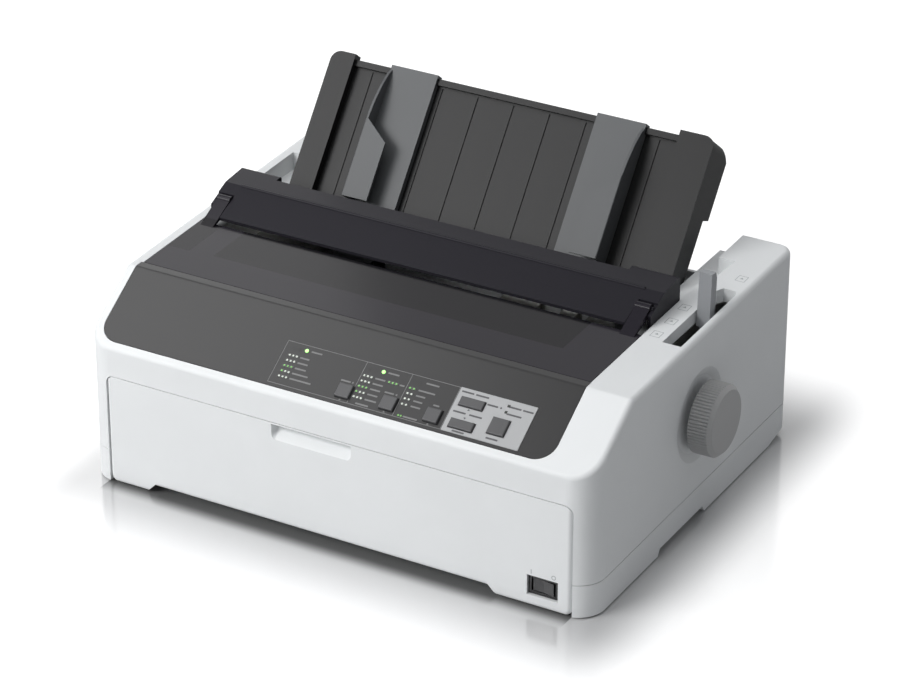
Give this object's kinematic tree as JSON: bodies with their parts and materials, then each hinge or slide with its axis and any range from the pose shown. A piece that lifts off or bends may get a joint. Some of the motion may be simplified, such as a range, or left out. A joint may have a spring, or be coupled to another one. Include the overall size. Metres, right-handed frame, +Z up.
{
  "type": "dot matrix printer",
  "caption": "Desk dot matrix printer with a hinged front cover, smoked exit window, sheet guide, platen knob, release lever and push tractors.",
  "frame": {"origin": "centre of the bounding box's footprint, at the level that the feet stand on", "axes": "+Z up, +X to the right as seen from the front, the front faces -Y"},
  "size_m": [0.4162, 0.3046, 0.223],
  "materials": {
    "case_white": "fine matt texture",
    "panel_grey": "satin",
    "button_grey": "satin",
    "light_green": "clear lens",
    "cover_smoke": "glossy smoke",
    "window_smoke": "glossy smoke",
    "guide_black": "fine matt",
    "edge_grey": "satin",
    "knob_grey": "satin",
    "lever_grey": "satin",
    "switch_black": "matt",
    "board_green": "lacquered",
    "gear_white": "moulded",
    "plated_steel": "zinc plated",
    "shaft_steel": "ground",
    "motor_black": "satin",
    "head_alloy": "cast",
    "roller_rubber": "ground matt",
    "belt_rubber": "matt",
    "ribbon_fabric": "inked nylon",
    "tractor_grey": "moulded",
    "screw_steel": "zinc plated"
  },
  "bodies": {
    "case": {"upper_case": "case_white", "lower_case": "case_white", "rocker_bezel": "switch_black", "control_panel": "panel_grey", "panel_lights": "light_green", "switch_board": "board_green", "left_frame": "plated_steel", "right_frame": "plated_steel", "base_plate": "plated_steel", "platen_bushes": "gear_white", "paper_chute": "plated_steel", "carriage_rod": "shaft_steel", "carriage_rail": "plated_steel", "drive_belt": "belt_rubber", "carriage_motor": "motor_black", "feed_motor": "motor_black", "support_rod": "shaft_steel", "ribbon_cartridge": "tractor_grey", "ribbon": "ribbon_fabric", "main_board": "board_green", "power_supply": "head_alloy", "mains_inlet": "switch_black", "interface_sockets": "plated_steel", "rubber_feet": "belt_rubber", "case_screws": "screw_steel"},
    "front_cover": {"front_cover": "case_white"},
    "power_rocker": {"power_rocker": "switch_black"},
    "button_one": {"button_one": "button_grey"},
    "button_two": {"button_two": "button_grey"},
    "button_three": {"button_three": "button_grey"},
    "wide_button_upper": {"wide_button_upper": "button_grey"},
    "wide_button_lower": {"wide_button_lower": "button_grey"},
    "large_button": {"large_button": "button_grey"},
    "printer_cover": {"printer_cover": "cover_smoke"},
    "exit_window": {"exit_window": "window_smoke"},
    "paper_guide": {"paper_guide": "guide_black"},
    "left_edge_guide": {"left_edge_guide": "edge_grey"},
    "right_edge_guide": {"right_edge_guide": "edge_grey"},
    "release_lever": {"release_lever": "lever_grey"},
    "platen": {"platen_shaft": "shaft_steel", "platen_roller": "roller_rubber", "platen_knob": "knob_grey", "platen_gear": "gear_white"},
    "compound_gear": {"compound_gear": "gear_white"},
    "motor_pinion": {"motor_pinion": "shaft_steel"},
    "tractor_idler": {"tractor_idler_gear": "gear_white"},
    "tractor_shaft": {"tractor_shaft": "shaft_steel", "tractor_gear": "gear_white"},
    "left_tractor": {"left_tractor": "tractor_grey"},
    "right_tractor": {"right_tractor": "tractor_grey"},
    "left_sprocket": {"left_sprocket": "gear_white"},
    "right_sprocket": {"right_sprocket": "gear_white"},
    "left_tractor_door": {"left_tractor_door": "tractor_grey"},
    "right_tractor_door": {"right_tractor_door": "tractor_grey"},
    "carriage": {"carriage": "tractor_grey", "print_head": "head_alloy"},
    "belt_drive_pulley": {"belt_drive_pulley": "gear_white"},
    "belt_idler_pulley": {"belt_idler_pulley": "gear_white"},
    "ribbon_knob": {"ribbon_knob": "lever_grey"}
  },
  "joints": [
    {"name": "front_cover_hinge", "type": "hinge", "parent": "case", "child": "front_cover", "pos_m": [-0.0101, -0.14747, 0.0064], "axis": [1, 0, 0], "range_deg": [0, 90]},
    {"name": "power_switch", "type": "hinge", "parent": "case", "child": "power_rocker", "pos_m": [0.1517, -0.14447, 0.0172], "axis": [0, 0, 1], "range_deg": [0, 9]},
    {"name": "button_one_press", "type": "slide", "parent": "case", "child": "button_one", "axis": [0, 0.5421, -0.8403], "range_m": [0, 0.0008], "stiffness_N_per_m": 400, "springref_m": -0.0005},
    {"name": "button_two_press", "type": "slide", "parent": "case", "child": "button_two", "axis": [0, 0.5421, -0.8403], "range_m": [0, 0.0008], "stiffness_N_per_m": 400, "springref_m": -0.0005},
    {"name": "button_three_press", "type": "slide", "parent": "case", "child": "button_three", "axis": [0, 0.5421, -0.8403], "range_m": [0, 0.0008], "stiffness_N_per_m": 400, "springref_m": -0.0005},
    {"name": "wide_button_upper_press", "type": "slide", "parent": "case", "child": "wide_button_upper", "axis": [0, 0.5421, -0.8403], "range_m": [0, 0.0008], "stiffness_N_per_m": 400, "springref_m": -0.0005},
    {"name": "wide_button_lower_press", "type": "slide", "parent": "case", "child": "wide_button_lower", "axis": [0, 0.5421, -0.8403], "range_m": [0, 0.0008], "stiffness_N_per_m": 400, "springref_m": -0.0005},
    {"name": "large_button_press", "type": "slide", "parent": "case", "child": "large_button", "axis": [0, 0.5421, -0.8403], "range_m": [0, 0.0008], "stiffness_N_per_m": 400, "springref_m": -0.0005},
    {"name": "printer_cover_hinge", "type": "hinge", "parent": "case", "child": "printer_cover", "pos_m": [-0.0101, 0.03794, 0.1415], "axis": [1, 0, 0], "range_deg": [-80, 0]},
    {"name": "exit_window_hinge", "type": "hinge", "parent": "printer_cover", "child": "exit_window", "pos_m": [-0.0101, 0.00294, 0.1534], "axis": [-1, 0, 0], "range_deg": [0, 100]},
    {"name": "paper_guide_hinge", "type": "hinge", "parent": "case", "child": "paper_guide", "pos_m": [-0.0101, 0.07405, 0.12469], "axis": [1, 0, 0], "range_deg": [-50, 0]},
    {"name": "left_edge_guide_slide", "type": "slide", "parent": "paper_guide", "child": "left_edge_guide", "axis": [1, 0, 0], "range_m": [-0.024, 0.04]},
    {"name": "right_edge_guide_slide", "type": "slide", "parent": "paper_guide", "child": "right_edge_guide", "axis": [1, 0, 0], "range_m": [-0.06, 0.024]},
    {"name": "release_lever_pivot", "type": "hinge", "parent": "case", "child": "release_lever", "pos_m": [0.1751, 0.02893, 0.06], "axis": [1, 0, 0], "range_deg": [-17, 28]},
    {"name": "platen_turn", "type": "hinge", "parent": "case", "child": "platen", "pos_m": [-0.0101, 0.00294, 0.0827], "axis": [1, 0, 0], "continuous": true},
    {"name": "compound_gear_turn", "type": "hinge", "parent": "case", "child": "compound_gear", "pos_m": [-0.1881, 0.02736, 0.05359], "axis": [1, 0, 0], "continuous": true},
    {"name": "motor_pinion_turn", "type": "hinge", "parent": "case", "child": "motor_pinion", "pos_m": [-0.1931, 0.05649, 0.04299], "axis": [1, 0, 0], "continuous": true},
    {"name": "tractor_idler_turn", "type": "hinge", "parent": "case", "child": "tractor_idler", "pos_m": [-0.1851, 0.05637, 0.0905], "axis": [1, 0, 0], "continuous": true},
    {"name": "tractor_shaft_turn", "type": "hinge", "parent": "case", "child": "tractor_shaft", "pos_m": [-0.0101, 0.10832, 0.09807], "axis": [1, 0, 0], "continuous": true},
    {"name": "left_tractor_slide", "type": "slide", "parent": "case", "child": "left_tractor", "axis": [1, 0, 0], "range_m": [-0.02, 0.06]},
    {"name": "right_tractor_slide", "type": "slide", "parent": "case", "child": "right_tractor", "axis": [1, 0, 0], "range_m": [-0.06, 0.02]},
    {"name": "left_sprocket_turn", "type": "hinge", "parent": "left_tractor", "child": "left_sprocket", "pos_m": [-0.1381, 0.10832, 0.09807], "axis": [1, 0, 0], "continuous": true},
    {"name": "right_sprocket_turn", "type": "hinge", "parent": "right_tractor", "child": "right_sprocket", "pos_m": [0.0939, 0.10832, 0.09807], "axis": [1, 0, 0], "continuous": true},
    {"name": "left_tractor_door_hinge", "type": "hinge", "parent": "left_tractor", "child": "left_tractor_door", "pos_m": [-0.1537, 0.10832, 0.11467], "axis": [0, -1, 0], "range_deg": [0, 75]},
    {"name": "right_tractor_door_hinge", "type": "hinge", "parent": "right_tractor", "child": "right_tractor_door", "pos_m": [0.1095, 0.10832, 0.11467], "axis": [0, 1, 0], "range_deg": [0, 75]},
    {"name": "carriage_slide", "type": "slide", "parent": "case", "child": "carriage", "axis": [1, 0, 0], "range_m": [0, 0.21]},
    {"name": "belt_drive_pulley_turn", "type": "hinge", "parent": "case", "child": "belt_drive_pulley", "pos_m": [-0.1601, -0.08006, 0.072], "axis": [0, -1, 0], "range_deg": [-10, 1515]},
    {"name": "belt_idler_pulley_turn", "type": "hinge", "parent": "case", "child": "belt_idler_pulley", "pos_m": [0.1399, -0.08006, 0.072], "axis": [0, -1, 0], "range_deg": [-10, 1515]},
    {"name": "ribbon_knob_turn", "type": "hinge", "parent": "case", "child": "ribbon_knob", "pos_m": [-0.1401, -0.09606, 0.106], "axis": [0, 0, 1], "continuous": true}
  ],
  "couplings": [
    {"joint": "compound_gear_turn", "follows": "platen_turn", "ratio": -3.75},
    {"joint": "motor_pinion_turn", "follows": "platen_turn", "ratio": 15.625},
    {"joint": "tractor_idler_turn", "follows": "platen_turn", "ratio": -1.25},
    {"joint": "tractor_shaft_turn", "follows": "platen_turn", "ratio": 1.0526},
    {"joint": "left_sprocket_turn", "follows": "platen_turn", "ratio": 1.0526},
    {"joint": "right_sprocket_turn", "follows": "platen_turn", "ratio": 1.0526},
    {"joint": "belt_drive_pulley_turn", "follows": "carriage_slide", "rad_per_m": 125},
    {"joint": "belt_idler_pulley_turn", "follows": "carriage_slide", "rad_per_m": 125}
  ]
}
